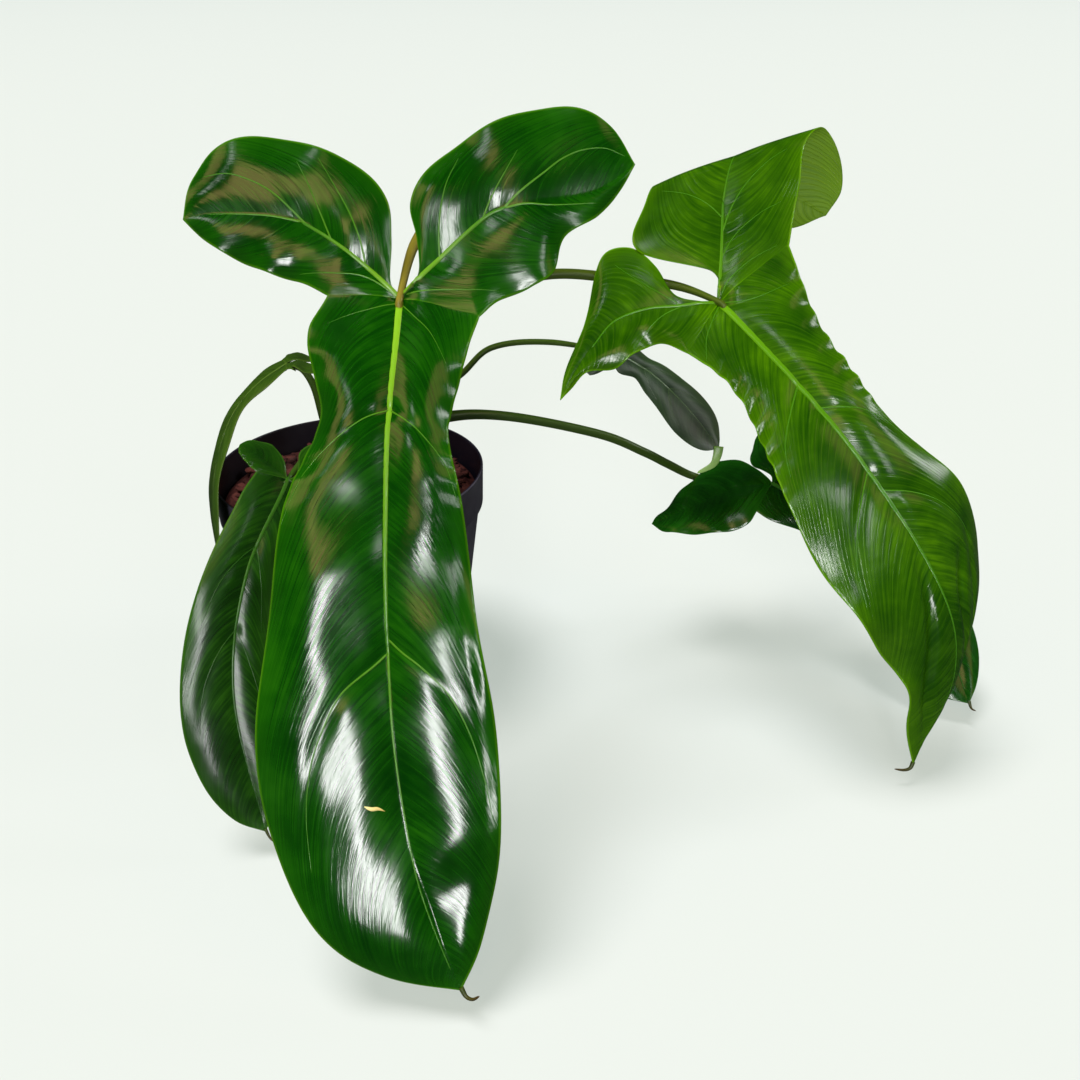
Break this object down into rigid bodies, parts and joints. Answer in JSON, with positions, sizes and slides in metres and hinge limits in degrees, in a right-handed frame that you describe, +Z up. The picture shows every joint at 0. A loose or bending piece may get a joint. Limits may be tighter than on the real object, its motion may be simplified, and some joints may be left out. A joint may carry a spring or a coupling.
{
  "type": "potted fiddle-leaf philodendron",
  "caption": "Young climbing philodendron with long glossy fiddle-shaped leaves on arching petioles, in a round black nursery pot of bark mix.",
  "frame": {"origin": "middle of the pot's underside, on the plane the pot stands on", "axes": "+Z up; -Y towards the side over which the largest front leaf hangs; +X towards the right leaf, the side the plant reaches furthest"},
  "size_m": [0.4369, 0.3294, 0.3316],
  "materials": {
    "pot_plastic": "satin",
    "growing_mix": "matte",
    "stem": "matte",
    "leaf_blade": "gloss"
  },
  "bodies": {
    "root": {"pot": "pot_plastic", "growing_mix": "growing_mix", "stem": "stem", "leaf_front": "leaf_blade", "leaf_right": "leaf_blade", "leaf_left": "leaf_blade", "leaf_side": "leaf_blade", "leaf_back": "leaf_blade", "leaf_low": "leaf_blade"}
  },
  "joints": []
}
